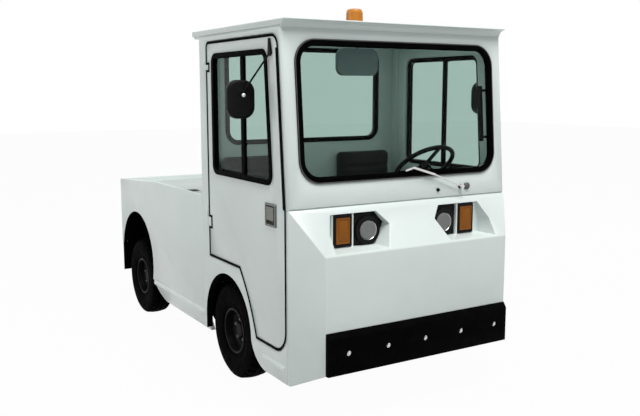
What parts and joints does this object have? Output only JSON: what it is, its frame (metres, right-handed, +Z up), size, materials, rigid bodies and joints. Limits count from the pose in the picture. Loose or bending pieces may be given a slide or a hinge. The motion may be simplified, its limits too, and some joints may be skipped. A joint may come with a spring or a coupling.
{
  "type": "electric aircraft tow tractor",
  "caption": "Compact white electric tow tractor with a closed two-seat cab over the front axle, a flat cargo deck behind it, steered front wheels and a rear tow hitch.",
  "frame": {"origin": "on the floor, under the middle of the overall box", "axes": "+X forward, +Y to the driver's left, +Z up"},
  "size_m": [3.129, 1.864, 2.225],
  "materials": {
    "white_paint": "satin white sheet metal, faintly grey-green",
    "frame_paint": "black chassis paint",
    "bare_casting": "dark cast steel",
    "battery_case": "grey steel tray",
    "tyre_rubber": "matt black tyre",
    "rim_paint": "dark painted disc",
    "black_rubber": "matt black rubber",
    "tinted_glass": "green tinted safety glass",
    "latch_metal": "satin metal paddle latch",
    "black_plastic": "grained black plastic",
    "clear_lens": "clear ribbed lamp glass",
    "amber_lens": "amber lens",
    "red_lens": "red lens",
    "seat_vinyl": "black vinyl"
  },
  "bodies": {
    "chassis": {"cab_side_right": "white_paint", "cab_side_left": "white_paint", "rear_side_right": "white_paint", "rear_side_left": "white_paint", "rear_panel": "white_paint", "cargo_deck": "white_paint", "nose_panel": "white_paint", "cab_front": "white_paint", "cab_rear": "white_paint", "roof": "white_paint", "chassis_frame": "frame_paint", "front_axle_beam": "frame_paint", "rear_axle": "frame_paint", "tow_hitch": "frame_paint", "leaf_springs": "frame_paint", "battery_pack": "battery_case", "front_bumper": "black_rubber", "windscreen_seal": "black_rubber", "rear_window_seal": "black_rubber", "mud_flaps": "black_rubber", "cab_floor": "black_rubber", "wheel_liners": "black_rubber", "windscreen": "tinted_glass", "rear_window": "tinted_glass", "cab_mirror": "black_plastic", "lamp_frames": "black_plastic", "beacon_base": "black_plastic", "dashboard": "black_plastic", "grab_handle": "black_plastic", "steering_column": "black_plastic", "wiper": "black_plastic", "headlamp_lenses": "clear_lens", "indicator_lenses": "amber_lens", "beacon_lens": "amber_lens", "tail_lamps": "red_lens", "seat_cushions": "seat_vinyl", "seat_backs": "seat_vinyl"},
    "knuckle_right": {"knuckle_right": "bare_casting"},
    "knuckle_left": {"knuckle_left": "bare_casting"},
    "tie_rod": {"tie_rod": "bare_casting"},
    "door_right": {"door_right": "white_paint", "door_seal_right": "black_rubber", "door_glass_right": "tinted_glass", "door_latch_right": "latch_metal", "door_mirror_right": "black_plastic"},
    "door_left": {"door_left": "white_paint", "door_seal_left": "black_rubber", "door_glass_left": "tinted_glass", "door_latch_left": "latch_metal", "door_mirror_left": "black_plastic"},
    "battery_lid": {"battery_lid": "white_paint"},
    "steering_wheel": {"steering_wheel": "black_plastic"},
    "wheel_front_right": {"tyre_front_right": "tyre_rubber", "rim_front_right": "rim_paint"},
    "wheel_front_left": {"tyre_front_left": "tyre_rubber", "rim_front_left": "rim_paint"},
    "wheel_rear_right": {"tyre_rear_right": "tyre_rubber", "rim_rear_right": "rim_paint"},
    "wheel_rear_left": {"tyre_rear_left": "tyre_rubber", "rim_rear_left": "rim_paint"}
  },
  "joints": [
    {"name": "steer_right", "type": "hinge", "parent": "chassis", "child": "knuckle_right", "pos_m": [0.6225, -0.47, 0.295], "axis": [0, 0, 1], "range_deg": [-30, 30]},
    {"name": "steer_left", "type": "hinge", "parent": "chassis", "child": "knuckle_left", "pos_m": [0.6225, 0.47, 0.295], "axis": [0, 0, 1], "range_deg": [-30, 30]},
    {"name": "spin_front_right", "type": "hinge", "parent": "knuckle_right", "child": "wheel_front_right", "pos_m": [0.6225, -0.64, 0.295], "axis": [0, 1, 0], "continuous": true},
    {"name": "spin_front_left", "type": "hinge", "parent": "knuckle_left", "child": "wheel_front_left", "pos_m": [0.6225, 0.64, 0.295], "axis": [0, 1, 0], "continuous": true},
    {"name": "spin_rear_right", "type": "hinge", "parent": "chassis", "child": "wheel_rear_right", "pos_m": [-1.0675, -0.64, 0.295], "axis": [0, 1, 0], "continuous": true},
    {"name": "spin_rear_left", "type": "hinge", "parent": "chassis", "child": "wheel_rear_left", "pos_m": [-1.0675, 0.64, 0.295], "axis": [0, 1, 0], "continuous": true},
    {"name": "tie_rod_pin", "type": "hinge", "parent": "knuckle_right", "child": "tie_rod", "pos_m": [0.4725, -0.47, 0.295], "axis": [0, 0, 1], "range_deg": [-30, 30]},
    {"name": "steering_wheel_turn", "type": "hinge", "parent": "chassis", "child": "steering_wheel", "pos_m": [0.9995, 0.435, 1.28], "axis": [-0.6428, 0, 0.766], "range_deg": [-270, 270]},
    {"name": "door_right_hinge", "type": "hinge", "parent": "chassis", "child": "door_right", "pos_m": [0.355, -0.754, 1.4], "axis": [0, 0, -1], "range_deg": [0, 80]},
    {"name": "door_left_hinge", "type": "hinge", "parent": "chassis", "child": "door_left", "pos_m": [0.355, 0.754, 1.4], "axis": [0, 0, 1], "range_deg": [0, 80]},
    {"name": "battery_lid_hinge", "type": "hinge", "parent": "chassis", "child": "battery_lid", "pos_m": [0.2335, 0, 1], "axis": [0, 1, 0], "range_deg": [0, 75]}
  ],
  "couplings": [
    {"joint": "steer_left", "follows": "steer_right", "ratio": 1},
    {"joint": "tie_rod_pin", "follows": "steer_right", "ratio": -1},
    {"joint": "steering_wheel_turn", "follows": "steer_right", "ratio": 9}
  ]
}
